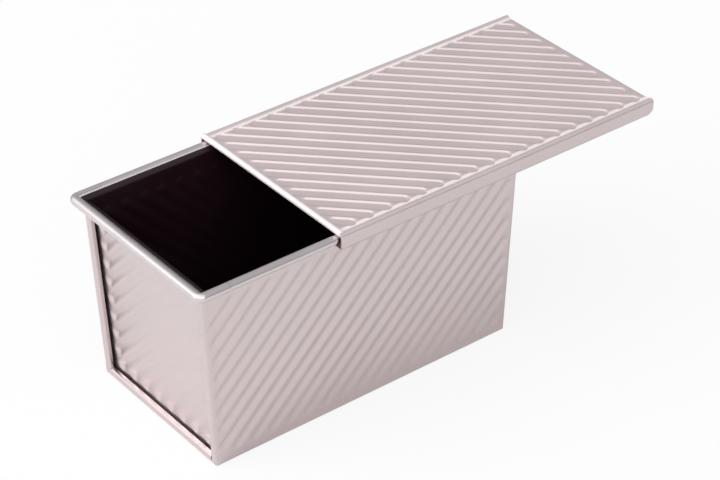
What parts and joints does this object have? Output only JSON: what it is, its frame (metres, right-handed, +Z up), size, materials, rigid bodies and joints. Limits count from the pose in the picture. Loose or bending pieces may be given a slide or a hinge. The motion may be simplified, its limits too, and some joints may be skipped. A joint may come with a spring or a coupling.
{
  "type": "lidded pullman loaf pan",
  "caption": "Deep rectangular bread tin with diagonal pressed ribs, folded end seams, wired rims and a ribbed lid that slides on C-shaped rails.",
  "frame": {"origin": "on the surface that the pan stands on, under the middle of its bottom", "axes": "+X along the long walls, towards the end where the lid is drawn out; +Y across the pan, away from the viewer in the picture; +Z up"},
  "size_m": [0.2875, 0.118, 0.1136],
  "materials": {
    "pan_sheet": "satin coating on aluminized steel, champagne silver outside and almost black inside",
    "panel_sheet": "the same satin coating, almost black inside",
    "wire": "drawn steel wire, bare inside the rolled rims",
    "lid_sheet": "satin coating on aluminized steel"
  },
  "bodies": {
    "pan": {"trough_sheet": "pan_sheet", "front_end_panel": "panel_sheet", "rear_end_panel": "panel_sheet", "front_rim_wire": "wire", "rear_rim_wire": "wire", "near_rim_wire": "wire", "far_rim_wire": "wire"},
    "lid": {"lid_sheet": "lid_sheet"}
  },
  "joints": [
    {"name": "lid_slide", "type": "slide", "parent": "pan", "child": "lid", "axis": [1, 0, 0], "range_m": [-0.0794, 0.1]}
  ]
}
